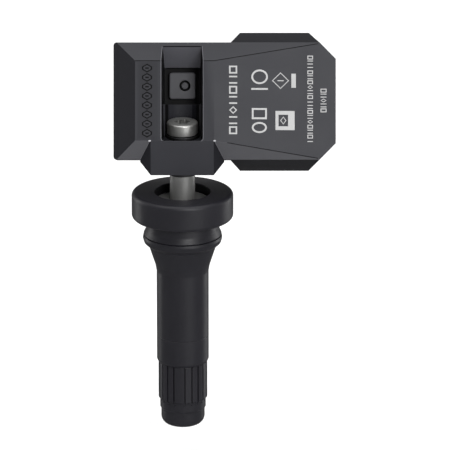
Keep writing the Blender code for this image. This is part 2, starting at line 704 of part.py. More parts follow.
def build_insert():
    """The hollow metal stud: cross pin, disc, tube, valve thread and the bores through it."""
    rings = [circle(0, PIN_TOP_Z, INSERT_SEGMENTS), circle(PIN_R - 0.25, PIN_TOP_Z, INSERT_SEGMENTS)]
    for r, z in (
        (PIN_R, PIN_TOP_Z - 0.3), (PIN_R, DISC_TOP_Z + 0.25), (PIN_R + 0.25, DISC_TOP_Z),
        (DISC_R - 0.2, DISC_TOP_Z), (DISC_R, DISC_TOP_Z - 0.2), (DISC_R, 2.4), (TUBE_R, 2.3),
        (TUBE_R, -30.2), (THREAD_ROOT_R, -30.6),
    ):
        rings.append(circle(r, z, INSERT_SEGMENTS))
    thread_z = (THREAD_TOP_Z, THREAD_END_Z)
    rings += thread_rings(THREAD_ROOT_R, THREAD_R, THREAD_PITCH, *thread_z, INSERT_SEGMENTS)
    rings += [circle(THREAD_ROOT_R - 0.15, MOUTH_Z, INSERT_SEGMENTS), circle(0, MOUTH_Z, INSERT_SEGMENTS)]
    body = bmesh.new()
    grid_solid(body, rings)
    screw_hole = lathe(
        [(0, SCREW_HOLE_END_Z), (SCREW_HOLE_R, SCREW_HOLE_END_Z + 0.6), (SCREW_HOLE_R, 17.0), (0, 17.0)], 28
    )
    air = lathe(
        [
            (0, MOUTH_Z - 1.0), (CORE_BORE_R, MOUTH_Z - 1.0), (CORE_BORE_R, -31.2), (2.15, -30.2),
            (2.15, -25.0), (AIR_BORE_R, -24.0), (AIR_BORE_R, AIR_BORE_TOP_Z - 0.6), (0, AIR_BORE_TOP_Z),
        ], 28,
    )
    cross = lathe([(0, 0.0), (CROSS_HOLE_R, 0.0), (CROSS_HOLE_R, 4.0), (0, 4.0)], 20)
    place = Matrix.Translation((0, 0, CROSS_HOLE_Z * MM)) @ Matrix.Rotation(-math.pi / 2, 4, "X")
    bmesh.ops.transform(cross, matrix=place, verts=cross.verts)
    body = combined(body, [screw_hole, air, cross], "DIFFERENCE")
    add_node("stem_insert", body, "stem_metal")


def build_stem():
    rubber = lathe(stem_profile(), STEM_SEGMENTS, closed=True)
    add_node("rubber_stem", rubber, "stem_rubber")
    build_insert()
    barrel = [
        (BARREL_BORE_R, -36.6), (BARREL_HEAD_R, -36.6), (BARREL_HEAD_R, -34.4), (BARREL_R + 0.1, -33.8),
        (BARREL_R + 0.1, -33.2), (BARREL_R, -33.2), (BARREL_R, -27.9), (0.75, -27.9), (0.75, -28.6),
        (BARREL_BORE_R, -28.6),
    ]
    add_node("valve_core_barrel", lathe(barrel, 32, closed=True), "core_brass")
    gasket = [(1.9, -32.4), (2.6, -32.4), (2.6, -31.4), (2.1, -30.6), (1.9, -30.6)]
    add_node("valve_core_gasket", lathe(gasket, 32, closed=True), "seal_rubber")


def build_core_pin(parent):
    pin = [
        (0, -37.1), (0.3, -37.1), (CORE_PIN_R, -36.95), (CORE_PIN_R, -34.3), (1.15, -34.1), (1.15, -33.6),
        (CORE_PIN_R, -33.5), (CORE_PIN_R, -26.2), (0, -26.2),
    ]
    add_node("valve_core_pin", lathe(pin, 24), "core_brass", parent)
    seal = [(0.55, -27.6), (1.3, -27.6), (1.5, -27.4), (1.5, -26.7), (0.55, -26.7)]
    add_node("valve_core_seal", lathe(seal, 28, closed=True), "seal_rubber", parent)


def build_spring():
    """A round wire swept along a helix between the barrel's seat and the pin's collar."""
    around, per_turn = 5, 12
    steps = SPRING_TURNS * per_turn
    length = SPRING_FIXED_Z - SPRING_FREE_Z - 2 * SPRING_WIRE_R
    bm = bmesh.new()
    rings = []
    for step in range(steps + 1):
        angle = 2.0 * math.pi * step / per_turn
        z = SPRING_FREE_Z + SPRING_WIRE_R + length * step / steps
        ring = []
        for k in range(around):
            phi = 2.0 * math.pi * k / around
            r = SPRING_R + SPRING_WIRE_R * math.cos(phi)
            ring.append((r * math.cos(angle), r * math.sin(angle), z + SPRING_WIRE_R * math.sin(phi)))
        rings.append(ring)
    layers = grid_solid(bm, rings)
    bm.faces.new(layers[0])
    bm.faces.new(layers[-1])
    add_node("valve_core_spring", bm, "spring_steel")


def build_cap(travel_parent, turn_parent):
    """The ribbed cap, with its bore, and the sealing ring inside it."""
    inner = [
        (0, CAP_CORE_END_Z), (CAP_CORE_R, CAP_CORE_END_Z), (CAP_CORE_R, CAP_BORE_END_Z),
        (CAP_BORE_R, CAP_BORE_END_Z), (CAP_BORE_R, CAP_TOP_Z - 0.3), (CAP_BORE_R + 0.25, CAP_TOP_Z),
    ]
    outer = [
        (CAP_RIB_R - 0.1, CAP_TOP_Z), (CAP_RIB_R, CAP_TOP_Z - 0.1), (CAP_RIB_R, CAP_RIB_END_Z),
        (CAP_PLAIN_R, CAP_RIB_END_Z - 0.25), (CAP_PLAIN_R, CAP_STEP_Z), (CAP_END_R, CAP_STEP_Z - 0.2),
        (CAP_END_R, CAP_END_Z + CAP_ROUND),
    ]
    steps = 6
    for step in range(1, steps + 1):
        angle = math.pi / 2 * step / steps
        r = CAP_END_R - CAP_ROUND + CAP_ROUND * math.cos(angle)
        outer.append((r, CAP_END_Z + CAP_ROUND - CAP_ROUND * math.sin(angle)))
    cap = lathe(inner + outer + [(0, CAP_END_Z)], CAP_SEGMENTS)
    grooves = bmesh.new()
    turns = [CAP_WIDE_RIB_HALF + CAP_RIB * index for index in range(CAP_GROOVES_PER_HALF)]
    for turn in turns + [-angle for angle in turns]:
        groove = box(
            (CAP_PLAIN_R - 0.02, CAP_RIB_R + 1.0), (-CAP_GROOVE_W / 2, CAP_GROOVE_W / 2),
            (CAP_RIB_END_Z - 0.6, CAP_TOP_Z + 0.5),
        )
        bmesh.ops.transform(groove, matrix=Matrix.Rotation(CAP_WIDE_RIB + turn, 4, "Z"), verts=groove.verts)
        mesh = bpy.data.meshes.new("groove")
        groove.to_mesh(mesh)
        groove.free()
        grooves.from_mesh(mesh)
    cap = combined(cap, [grooves], "DIFFERENCE")
    add_node("valve_cap", cap, "cap_plastic", turn_parent)
    seal = [(1.6, -38.95), (3.7, -38.95), (3.7, -38.2), (1.6, -38.2)]
    add_node("cap_seal", lathe(seal, 36, closed=True), "seal_rubber", travel_parent)


def joint_frame(name, matrix=None):
    empty = bpy.data.objects.new(name, None)
    empty.matrix_world = matrix or Matrix.Identity(4)
    bpy.context.scene.collection.objects.link(empty)
    return empty


clear_scene()
materials = make_materials()
build_stem()
build_spring()
build_core_pin(joint_frame("core_slide"))
build_cap(joint_frame("cap_slide"), joint_frame("cap_turn"))
build_screw(joint_frame("screw_slide"), joint_frame("screw_turn"))
swivel = joint_frame("housing_swivel", housing_matrix())
build_housing(swivel)
build_cover(swivel)
build_cell(swivel)
build_board(swivel)
build_port_and_bush(swivel)
bpy.context.view_layer.update()
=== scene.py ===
"""Looks of the wheel-mounted tyre pressure sensor: refined outer pieces, materials, floor, lights, camera.

Lengths are millimetres in the mesh code. The housing frame (u, v, w) has its origin on the stem's axis, with
u = +X, v up the face and w out of the face.
"""

import math

import bmesh
import bpy
from mathutils import Matrix, Vector


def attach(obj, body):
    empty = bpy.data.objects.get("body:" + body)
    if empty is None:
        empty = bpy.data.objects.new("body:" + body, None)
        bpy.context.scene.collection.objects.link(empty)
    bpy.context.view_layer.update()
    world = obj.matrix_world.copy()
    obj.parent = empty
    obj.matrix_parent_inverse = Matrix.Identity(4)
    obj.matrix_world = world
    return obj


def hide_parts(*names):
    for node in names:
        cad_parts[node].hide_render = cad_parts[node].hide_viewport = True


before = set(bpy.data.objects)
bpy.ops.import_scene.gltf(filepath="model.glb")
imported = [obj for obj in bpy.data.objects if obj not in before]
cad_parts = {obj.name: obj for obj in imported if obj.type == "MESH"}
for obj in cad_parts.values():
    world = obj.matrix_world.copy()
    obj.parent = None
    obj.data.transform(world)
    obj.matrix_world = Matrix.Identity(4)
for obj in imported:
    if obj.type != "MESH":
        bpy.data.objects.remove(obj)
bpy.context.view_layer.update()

MM = 0.001
TILT = math.radians(19.0)
CROSS_Z = 24.28
FACE_W = 3.2
BACK_W = -12.8
LEFT_U = -13.67
RIGHT_U = 30.5
SIDE_V = 11.65
EAR_V = 13.75
EAR_TOP_W = -0.75
EAR_LOW_W = -6.3
FACE_LEFT_U = -9.3
FACE_V = 7.9
CREASE_U = 6.35
LABEL_SLOPE = math.radians(9.6)
CORNER_U = 25.2
CORNER_V = 8.4
EAR_RAMP_U = (9.6, 11.5)
EAR_BLOCK_U = (8.0, 29.0)
EAR_ROOT_V = 10.5
EAR_FACET_V = 11.6
LEFT_CORNER_ROUND = 0.9
EDGE_ROUND = 0.26
CUT_MARGIN = 1.0
BOSS_FRONT_U = 6.25
BOSS_SIDE_U = 8.35
BOSS_TOP_V = -8.05
BOSS_END_V = -14.76
BOSS_END_W = -0.2
BOSS_BLOCK_V = (-17.0, -4.0)
BOSS_HEEL = ((0, -14.0, -10.2), (0, -1, -1.1))
BOSS_FLANK_UPPER = (0.633, -0.35, 0.69)
BOSS_FLANK_LOWER = (0.743, -0.634, -0.218)
SLOT_U = 4.1
SLOT_FLOOR_U = 3.53
SLOT_TOP_V = 10.8
SLOT_END_V = -8.0
SLOT_FLOOR_W = -3.85
SLOT_RUN_OUT_W = 2.9
SLOT_BLOCK_U = 6.0
SLOT_CORNER_ROUND = 0.65
SLOT_RIM_ROUND = 0.16
PIT_V = (-0.5, 6.72)
PIT_U = 3.28
PIT_FLOOR_W = -5.35
CHANNEL_R = 3.4
CHANNEL_TOP_Z = 34.0
SEAT_Z = 16.9
SPOTFACE_Z = 16.75
BOSS_BORE_R = 3.3
PORT_UV = (0.5, 3.12)
PORT_HOLE_R = 0.8
PAD_U = (-2.6, 2.6)
PAD_V = (0.46, 5.78)
PAD_W = (-5.1, -4.05)
PAD_CORNER_ROUND = 0.55
PAD_HOLE_R = 1.1
FILTER_R = 0.68
BUSH_R = (2.6, 3.15)
BUSH_Z = (9.3, 16.6)
WALL = 1.8
REBATE_WALL = 0.9
REBATE_W = -10.7
COVER_W = -11.4
CEILING_W = -8.0
CELL_ROOM_LEFT_U = 4.5
CELL_ROOM_WALL = 1.95
LABEL_WALL = 1.6
CHAMFER_WALL = 2.3
EAR_WALL = 1.5
COIL_ROOM = ((-11.5, -5.7), (-8.8, 8.8), -1.2)
COVER_GAP = 0.25
COVER_GROOVE = (1.6, 2.1, 0.18)
ENGRAVED_COUNT = 8
ENGRAVED_PITCH = 1.84
ENGRAVED_U = -6.95
ENGRAVED_DEPTH = 0.24
CREASE_END_U = 27.0
LOWER_CREASE_U = 8.9
CREASE_LINE_R = 0.075
FLANK_LINE_R = 0.05
INK_W = (0.004, 0.022)
HEAD_Z = (17.65, 20.0)
HEAD_R = 3.1
STAR_R = 1.62
STAR_DEPTH = 1.6
STAR_TURN = 0.0873
SHANK_R = (1.42, 1.74)
SHANK_TIP_R = 0.9
SHANK_TIP_Z = 10.4
SHANK_THREAD_Z = (10.9, 16.3)
SHANK_PITCH = 0.6
RECESS_R = 5.65
VALVE_R = (3.42, 3.86)
VALVE_PITCH = 0.794
VALVE_THREAD_Z = (-31.0, -37.4)
MOUTH_Z = -37.9
CROSS_HOLE_R = 0.8
CROSS_HOLE_Z = 6.4
RIBS_PER_HALF = 10
RIB_GROOVE_U = (4.5, 6.0)
RIB_GROOVE_HALF = 0.17
RIB_GROOVE_Z = (-38.9, -30.0)
FLOOR_Z = -51.2
WIDE_RIB_DEG = 261.5
WIDE_RIB_HALF_DEG = 13.0
RIB_DEG = 154.0 / 9

HOUSING = Matrix.Translation((0.0, 0.0, CROSS_Z * MM)) @ Matrix.Rotation(math.pi / 2 - TILT, 4, "X")


# ---------------------------------------------------------------- mesh tools

def grid_solid(bm, rings):
    """Closes a stack of rings: each is a list of points, or one point where the surface meets the axis."""
    layers = [[bm.verts.new(Vector(p) * MM) for p in ring] for ring in rings]
    for lower, upper in zip(layers, layers[1:]):
        count = max(len(lower), len(upper))
        for i in range(count):
            j = (i + 1) % count
            corners = []
            for layer, index in ((lower, i), (lower, j), (upper, j), (upper, i)):
                vert = layer[index] if len(layer) > 1 else layer[0]
                if vert not in corners:
                    corners.append(vert)
            if len(corners) > 2:
                bm.faces.new(corners)
    return layers


def circle(radius, z, segments):
    if radius < 1e-6:
        return [(0.0, 0.0, z)]
    turn = 2.0 * math.pi / segments
    return [(radius * math.cos(turn * i), radius * math.sin(turn * i), z) for i in range(segments)]


def lathe(profile, segments, closed=False):
    bm = bmesh.new()
    layers = grid_solid(bm, [circle(r, z, segments) for r, z in profile])
    if closed:
        first, last = layers[0], layers[-1]
        for i in range(segments):
            j = (i + 1) % segments
            bm.faces.new((last[i], last[j], first[j], first[i]))
    bmesh.ops.recalc_face_normals(bm, faces=bm.faces)
    return bm


def rounded_profile(points, closed=False):
    """(r, z, radius) corners of a profile, each rounded with an arc where its radius isn't zero."""
    result = []
    count = len(points)
    for i, (r, z, radius) in enumerate(points):
        here = Vector((r, z))
        if radius <= 0 or (not closed and i in (0, count - 1)):
            result.append((r, z))
            continue
        before = Vector(points[i - 1][:2]) - here
        after = Vector(points[(i + 1) % count][:2]) - here
        a, b = before.normalized(), after.normalized()
        half = a.angle(b) / 2
        reach = min(radius / math.tan(half), before.length * 0.49, after.length * 0.49)
        radius = reach * math.tan(half)
        centre = here + (a + b).normalized() * (radius / math.sin(half))
        start, end = here + a * reach - centre, here + b * reach - centre
        sweep = start.angle_signed(end)
        steps = max(2, int(math.degrees(abs(sweep)) / 12) + 1)
        for step in range(steps + 1):
            angle = -sweep * step / steps
            c, s = math.cos(angle), math.sin(angle)
            result.append((centre.x + start.x * c - start.y * s, centre.y + start.x * s + start.y * c))
    return result


def prism(points, low, high):
    bm = bmesh.new()
    bottom = [bm.verts.new(Vector((x, y, low)) * MM) for x, y in points]
    top = [bm.verts.new(Vector((x, y, high)) * MM) for x, y in points]
    bm.faces.new(bottom)
    bm.faces.new(top)
    for i in range(len(points)):
        j = (i + 1) % len(points)
        bm.faces.new((bottom[i], bottom[j], top[j], top[i]))
    bmesh.ops.recalc_face_normals(bm, faces=bm.faces)
    return bm


def box(x, y, z):
    return prism([(x[0], y[0]), (x[1], y[0]), (x[1], y[1]), (x[0], y[1])], z[0], z[1])


def rounded_rect(x, y, radius, steps=4):
    corners = ((x[1], y[1], 0), (x[0], y[1], 1), (x[0], y[0], 2), (x[1], y[0], 3))
    points = []
    for cx, cy, quarter in corners:
        sx = -radius if quarter in (0, 3) else radius
        sy = -radius if quarter in (0, 1) else radius
        for step in range(steps + 1):
            angle = math.pi / 2 * (quarter + step / steps)
            points.append((cx + sx + radius * math.cos(angle), cy + sy + radius * math.sin(angle)))
    return points


def cut_plane(bm, point, normal):
    geometry = bm.verts[:] + bm.edges[:] + bm.faces[:]
    cut = bmesh.ops.bisect_plane(
        bm, geom=geometry, dist=1e-7, plane_co=Vector(point) * MM, plane_no=Vector(normal), clear_outer=True
    )
    edges = [e for e in cut["geom_cut"] if isinstance(e, bmesh.types.BMEdge) and e.is_boundary]
    if edges:
        bmesh.ops.holes_fill(bm, edges=edges, sides=0)


def temporary(bm):
    mesh = bpy.data.meshes.new("shape")
    bmesh.ops.recalc_face_normals(bm, faces=bm.faces)
    bm.to_mesh(mesh)
    bm.free()
    obj = bpy.data.objects.new("shape", mesh)
    bpy.context.scene.collection.objects.link(obj)
    return obj


def combined(base, others, operation, merge_flat=True):
    target = temporary(base)
    for other in others:
        tool = temporary(other)
        modifier = target.modifiers.new("combine", "BOOLEAN")
        modifier.operation = operation
        modifier.solver = "EXACT"
        modifier.object = tool
        graph = bpy.context.evaluated_depsgraph_get()
        mesh = bpy.data.meshes.new_from_object(target.evaluated_get(graph))
        target.modifiers.clear()
        target.data = mesh
        bpy.data.objects.remove(tool, do_unlink=True)
    bm = bmesh.new()
    bm.from_mesh(target.data)
    bpy.data.objects.remove(target, do_unlink=True)
    bmesh.ops.remove_doubles(bm, verts=bm.verts, dist=2e-6)
    bmesh.ops.dissolve_degenerate(bm, dist=1e-6, edges=bm.edges)
    if merge_flat:
        bmesh.ops.dissolve_limit(bm, angle_limit=math.radians(0.3), verts=bm.verts, edges=bm.edges)
    return bm


def bevel_edges(bm, edges, width, segments=2):
    bmesh.ops.bevel(
        bm, geom=edges, offset=width * MM, offset_type="OFFSET", segments=segments, profile=0.5,
        affect="EDGES", clamp_overlap=True,
    )


def along_stem(bm):
    bmesh.ops.transform(bm, matrix=HOUSING.inverted(), verts=bm.verts)
    return bm


def joined(meshes):
    whole = bmesh.new()
    for part in meshes:
        mesh = bpy.data.meshes.new("part")
        part.to_mesh(mesh)
        part.free()
        whole.from_mesh(mesh)
        bpy.data.meshes.remove(mesh)
    return whole


def piece(name, bm, material, body, nodes=(), matrix=None, smooth_deg=32.0, more=()):
    """Links a finished mesh, smooth below the given angle, and hands it to the frame."""
    bmesh.ops.recalc_face_normals(bm, faces=bm.faces)
    for face in bm.faces:
        face.smooth = True
    limit = math.radians(smooth_deg)
    for edge in bm.edges:
        edge.smooth = edge.is_manifold and edge.calc_face_angle(0.0) < limit
    if matrix is not None:
        bmesh.ops.transform(bm, matrix=matrix, verts=bm.verts)
    mesh = bpy.data.meshes.new(name)
    bm.to_mesh(mesh)
    bm.free()
    for finish in (material, *more):
        mesh.materials.append(finish)
    obj = bpy.data.objects.new(name, mesh)
    bpy.context.scene.collection.objects.link(obj)
    modifier = obj.modifiers.new("weighted", "WEIGHTED_NORMAL")
    modifier.keep_sharp = True
    modifier.weight = 80
    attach(obj, body)
    if nodes:
        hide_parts(*nodes)
    return obj


# ---------------------------------------------------------------- materials

def surface(name, colour, roughness, metallic=0.0, grain=None, bump=0.0, vary=0.06, rough_vary=0.06,
            specular=0.5, blotch=None, wear_and_highlight=0.0, stretch=(1.0, 1.0, 1.0), coat=0.0):
    """A procedural finish: fine grain for bump and roughness, slow blotches of colour, and paler edges,
    partly wear and partly a painted highlight.

    grain and blotch are sizes in millimetres."""
    material = bpy.data.materials.new(name)
    material.use_nodes = True
    tree = material.node_tree
    nodes, links = tree.nodes, tree.links
    shader = nodes["Principled BSDF"]
    shader.inputs["Metallic"].default_value = metallic
    shader.inputs["Specular IOR Level"].default_value = specular
    shader.inputs["Coat Weight"].default_value = coat
    place = nodes.new("ShaderNodeTexCoord")
    mapping = nodes.new("ShaderNodeMapping")
    mapping.inputs["Scale"].default_value = stretch
    links.new(place.outputs["Object"], mapping.inputs["Vector"])

    fine = nodes.new("ShaderNodeTexNoise")
    fine.inputs["Scale"].default_value = 1000.0 / (grain or 0.25)
    fine.inputs["Detail"].default_value = 4.0
    fine.inputs["Roughness"].default_value = 0.6
    links.new(mapping.outputs["Vector"], fine.inputs["Vector"])
    slow = nodes.new("ShaderNodeTexNoise")
    slow.inputs["Scale"].default_value = 1000.0 / (blotch or 6.0)
    slow.inputs["Detail"].default_value = 3.0
    links.new(place.outputs["Object"], slow.inputs["Vector"])

    def spread(source, low, high):
        node = nodes.new("ShaderNodeMapRange")
        node.inputs["From Min"].default_value = 0.25
        node.inputs["From Max"].default_value = 0.75
        node.inputs["To Min"].default_value = low
        node.inputs["To Max"].default_value = high
        links.new(source, node.inputs["Value"])
        return node.outputs["Result"]

    def mixed(kind, factor, a, b):
        node = nodes.new("ShaderNodeMix")
        node.data_type = "RGBA"
        node.blend_type = kind
        for socket, value in (("Factor_Float", factor), ("A_Color", a), ("B_Color", b)):
            target = next(i for i in node.inputs if i.identifier == socket)
            if isinstance(value, bpy.types.NodeSocket):
                links.new(value, target)
            else:
                target.default_value = value
        return next(o for o in node.outputs if o.identifier == "Result_Color")

    dark = tuple(c * (1.0 - vary) for c in colour) + (1.0,)
    light = tuple(min(1.0, c * (1.0 + vary)) for c in colour) + (1.0,)
    tone = mixed("MIX", spread(slow.outputs["Fac"], 0.0, 1.0), dark, light)
    speck = tuple(min(1.0, c * (1.0 + 2.2 * vary)) for c in colour) + (1.0,)
    tone = mixed("MIX", spread(fine.outputs["Fac"], 0.0, 0.55), tone, speck)
    # Pale edges from pointiness: partly wear, partly a painted highlight where rounded edges catch the light.
    if wear_and_highlight > 0.0:
        geometry = nodes.new("ShaderNodeNewGeometry")
        edge = nodes.new("ShaderNodeMapRange")
        edge.inputs["From Min"].default_value = 0.505
        edge.inputs["From Max"].default_value = 0.57
        edge.inputs["To Max"].default_value = wear_and_highlight
        links.new(geometry.outputs["Pointiness"], edge.inputs["Value"])
        worn_and_highlit = tuple(min(1.0, c * 1.7 + 0.01) for c in colour) + (1.0,)
        tone = mixed("MIX", edge.outputs["Result"], tone, worn_and_highlit)
    links.new(tone, shader.inputs["Base Color"])
    both = nodes.new("ShaderNodeMath")
    both.operation = "ADD"
    links.new(spread(fine.outputs["Fac"], roughness - rough_vary, roughness + rough_vary), both.inputs[0])
    links.new(spread(slow.outputs["Fac"], -rough_vary / 2, rough_vary / 2), both.inputs[1])
    links.new(both.outputs["Value"], shader.inputs["Roughness"])
    if bump > 0.0:
        relief = nodes.new("ShaderNodeBump")
        relief.inputs["Distance"].default_value = bump * MM
        relief.inputs["Strength"].default_value = 1.0
        links.new(fine.outputs["Fac"], relief.inputs["Height"])
        links.new(relief.outputs["Normal"], shader.inputs["Normal"])
    return material


PLASTIC = surface("moulded_plastic", (0.0205, 0.0208, 0.0255), 0.50, grain=0.16, bump=0.010, vary=0.06,
                  specular=0.25, wear_and_highlight=0.3)
COVER = surface("cover_moulding", (0.016, 0.016, 0.018), 0.55, grain=0.2, bump=0.012, vary=0.08,
                specular=0.25, wear_and_highlight=0.2)
# Painted light: a lighter copy of the plastic for the channel's run-out ramp.
RAMP = surface("lit_moulding", (0.083, 0.083, 0.095), 0.50, grain=0.16, bump=0.010, vary=0.06, specular=0.25)
# Painted shade: a near-black copy of the plastic for the channel's walls and pit, the engraving and the
# stem's recess wall.
SHADE = surface("painted_shade_moulding", (0.004, 0.004, 0.0045), 0.55, grain=0.16, bump=0.010, vary=0.1,
                specular=0.12)
# Painted shade: a darker copy of the plastic for facets turned away from the light.
DIM = surface("painted_side_shade", (0.0075, 0.0076, 0.0105), 0.52, grain=0.16, bump=0.010, vary=0.06,
              specular=0.16, wear_and_highlight=0.3)
# Painted light: a lighter copy of the plastic for the lower chamfer.
LIT = surface("painted_lower_light", (0.068, 0.068, 0.075), 0.50, grain=0.16, bump=0.010, vary=0.06, specular=0.25)
# Painted glint for the spots on the boss's upper corners.
GLINT = surface("painted_corner_glint", (0.40, 0.40, 0.42), 0.3, grain=0.16, bump=0.004, vary=0.06, specular=0.5)
# Painted highlight for the slot's rim and the lines along the boss's flanks.
EDGE = surface("painted_rim_highlight", (0.10, 0.10, 0.112), 0.45, grain=0.16, bump=0.006, vary=0.1, specular=0.4)
# Painted shade: dark lines along the face's creases.
LINE = surface("painted_crease_shade", (0.003, 0.003, 0.0035), 0.7, grain=0.2, bump=0.002, vary=0.1, specular=0.1)
PAD = surface("pad_moulding", (0.052, 0.052, 0.058), 0.5, grain=0.16, bump=0.008, vary=0.06, specular=0.3,
              wear_and_highlight=0.3)
RUBBER = surface("stem_rubber_finish", (0.0125, 0.0121, 0.0162), 0.45, grain=0.3, bump=0.006, vary=0.12,
                 specular=0.36)
SEAL = surface("seal_rubber_finish", (0.01, 0.01, 0.011), 0.7, grain=0.25, bump=0.01, vary=0.12, specular=0.3)
CAP = surface("cap_moulding", (0.0128, 0.0124, 0.0165), 0.44, grain=0.22, bump=0.006, vary=0.1, specular=0.36,
              wear_and_highlight=0.2)
STEEL = surface("screw_steel_finish", (0.50, 0.50, 0.485), 0.44, 0.9, grain=0.12, bump=0.004, vary=0.06,
                rough_vary=0.08)
# Painted shade: a darker copy of the steel inside the star recess.
RECESS_SHADE_STEEL = surface("star_recess_painted_shade", (0.38, 0.38, 0.37), 0.45, 1.0, grain=0.12, bump=0.004, vary=0.1)
DARK_STEEL = surface("treated_steel_finish", (0.05, 0.05, 0.052), 0.5, 1.0, grain=0.15, bump=0.004, vary=0.1)
PIN = surface("plated_pin_finish", (0.28, 0.28, 0.275), 0.5, 0.65, grain=0.18, bump=0.003, vary=0.06,
              rough_vary=0.08, stretch=(1.0, 1.0, 6.0))
BRASS = surface("core_brass_finish", (0.62, 0.45, 0.2), 0.35, 1.0, grain=0.2, bump=0.004, vary=0.1)
SPRING = surface("spring_wire_finish", (0.45, 0.45, 0.45), 0.35, 1.0, grain=0.15, bump=0.002, vary=0.1)
BOARD = surface("board_finish", (0.02, 0.12, 0.05), 0.4, grain=0.5, bump=0.01, vary=0.25, blotch=2.0,
                coat=0.3)
CELL = surface("cell_can_finish", (0.6, 0.6, 0.6), 0.28, 1.0, grain=0.2, bump=0.003, vary=0.05)
NICKEL = surface("nickel_finish", (0.5, 0.48, 0.43), 0.35, 1.0, grain=0.2, bump=0.003, vary=0.08)
CHIP = surface("epoxy_finish", (0.02, 0.02, 0.021), 0.4, grain=0.1, bump=0.004, vary=0.15)
FERRITE = surface("ferrite_finish", (0.04, 0.04, 0.045), 0.6, grain=0.2, bump=0.01, vary=0.15)
COPPER = surface("enamelled_wire_finish", (0.55, 0.2, 0.08), 0.3, 1.0, grain=0.12, bump=0.02, vary=0.2,
                 stretch=(0.3, 1.0, 1.0))
CERAMIC = surface("capacitor_finish", (0.42, 0.3, 0.17), 0.5, grain=0.2, bump=0.004, vary=0.1)
INK = surface("printed_ink", (0.42, 0.42, 0.42), 0.6, grain=0.12, bump=0.004, vary=0.12)


# ---------------------------------------------------------------- housing

def outline(inset, left=LEFT_U):
    slant = inset * math.tan(math.pi / 8)
    upper = [
        (RIGHT_U - inset, CORNER_V - slant),
        (CORNER_U - slant, EAR_V - inset),
        (EAR_RAMP_U[1] + inset * 0.35, EAR_V - inset),
        (EAR_RAMP_U[0] + inset * 0.35, SIDE_V - inset),
        (left + inset, SIDE_V - inset),
    ]
    return upper + [(u, -v) for u, v in reversed(upper)]


def boss_block():
    boss = box((-BOSS_SIDE_U, BOSS_SIDE_U), BOSS_BLOCK_V, (BACK_W + 0.6, FACE_W + CUT_MARGIN))
    front = Vector((0, BOSS_END_W - FACE_W, BOSS_TOP_V - BOSS_END_V))
    cut_plane(boss, (0, BOSS_TOP_V, FACE_W), front)
    cut_plane(boss, (0, BOSS_END_V, BOSS_END_W), (0, -math.cos(TILT), -math.sin(TILT)))
    cut_plane(boss, *BOSS_HEEL)
    for side in (1, -1):
        corner = Vector((side * BOSS_FRONT_U, BOSS_END_V, BOSS_END_W))
        for across, up, out in (BOSS_FLANK_UPPER, BOSS_FLANK_LOWER):
            cut_plane(boss, corner, (side * across, up, out))
    return boss


def housing_outside():
    block = box((LEFT_U, RIGHT_U), (-SIDE_V, SIDE_V), (BACK_W - CUT_MARGIN, FACE_W + CUT_MARGIN))
    for side in (1, -1):
        cut_plane(block, (0, side * FACE_V, FACE_W), (0, side, 1))
    cut_plane(block, (FACE_LEFT_U, 0, FACE_W), (-1, 0, 1))
    upright = [
        e for e in block.edges
        if all(abs(v.co.x - LEFT_U * MM) < 1e-6 for v in e.verts)
        and abs(e.verts[0].co.y - e.verts[1].co.y) < 1e-6
    ]
    bevel_edges(block, upright, LEFT_CORNER_ROUND, 5)
    parts = []
    for side in (1, -1):
        ear = box(EAR_BLOCK_U, sorted((side * EAR_ROOT_V, side * EAR_V)), (BACK_W - CUT_MARGIN, EAR_TOP_W))
        facet = Vector((0, side * (EAR_TOP_W - EAR_LOW_W), EAR_V - EAR_FACET_V))
        cut_plane(ear, (0, side * EAR_V, EAR_LOW_W), facet)
        ramp = Vector((SIDE_V - EAR_V, side * (EAR_RAMP_U[1] - EAR_RAMP_U[0]), 0))
        cut_plane(ear, (EAR_RAMP_U[0], side * SIDE_V, 0), ramp)
        parts.append(ear)
    parts.append(boss_block())
    body = combined(block, parts, "UNION")
    cut_plane(body, (0, 0, FACE_W), (0, 0, 1))
    cut_plane(body, (CREASE_U, 0, FACE_W), (math.sin(LABEL_SLOPE), 0, math.cos(LABEL_SLOPE)))
    cut_plane(body, (0, 0, BACK_W), (0, 0, -1))
    for side in (1, -1):
        corner = Vector((EAR_V - CORNER_V, side * (RIGHT_U - CORNER_U), 0))
        cut_plane(body, (RIGHT_U, side * CORNER_V, 0), corner)
    bmesh.ops.dissolve_limit(body, angle_limit=math.radians(0.3), verts=body.verts, edges=body.edges)
    sharp = [e for e in body.edges if e.is_manifold and e.calc_face_angle_signed(0.0) > math.radians(20)]
    bevel_edges(body, sharp, EDGE_ROUND, 4)
    return body


